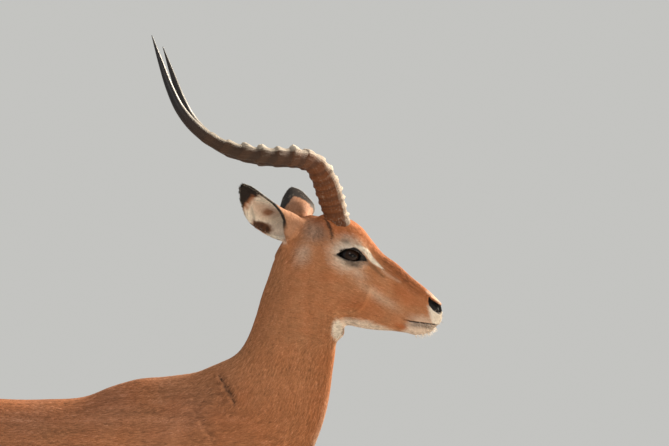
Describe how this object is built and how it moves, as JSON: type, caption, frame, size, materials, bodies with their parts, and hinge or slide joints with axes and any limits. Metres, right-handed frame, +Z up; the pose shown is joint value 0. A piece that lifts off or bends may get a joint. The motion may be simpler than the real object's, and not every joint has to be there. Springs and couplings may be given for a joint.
{
  "type": "impala antelope",
  "caption": "Standing male impala, a slender rufous antelope with long ringed lyre-shaped horns, as a life-size still display model.",
  "frame": {"origin": "on the ground, under the middle of the whole model's bounding box", "axes": "+Z up, +X the way the animal faces, +Y the animal's left"},
  "size_m": [1.1682, 0.464, 1.4862],
  "materials": {
    "coat": "short rufous hair, matte with a slight sheen",
    "horn": "ringed horn, satin, darker and smoother to the tips",
    "hoof": "black horn, satin",
    "eye": "wet, glossy"
  },
  "bodies": {
    "root": {"head": "coat", "neck": "coat", "trunk": "coat", "tail": "coat", "front_leg_left": "coat", "front_leg_right": "coat", "hind_leg_left": "coat", "hind_leg_right": "coat", "ear_left": "coat", "ear_right": "coat", "horn_left": "horn", "horn_right": "horn", "eye_left": "eye", "eye_right": "eye", "hoof_front_left_inner": "hoof", "hoof_front_left_outer": "hoof", "hoof_front_right_inner": "hoof", "hoof_front_right_outer": "hoof", "hoof_hind_left_inner": "hoof", "hoof_hind_left_outer": "hoof", "hoof_hind_right_inner": "hoof", "hoof_hind_right_outer": "hoof"}
  },
  "joints": []
}
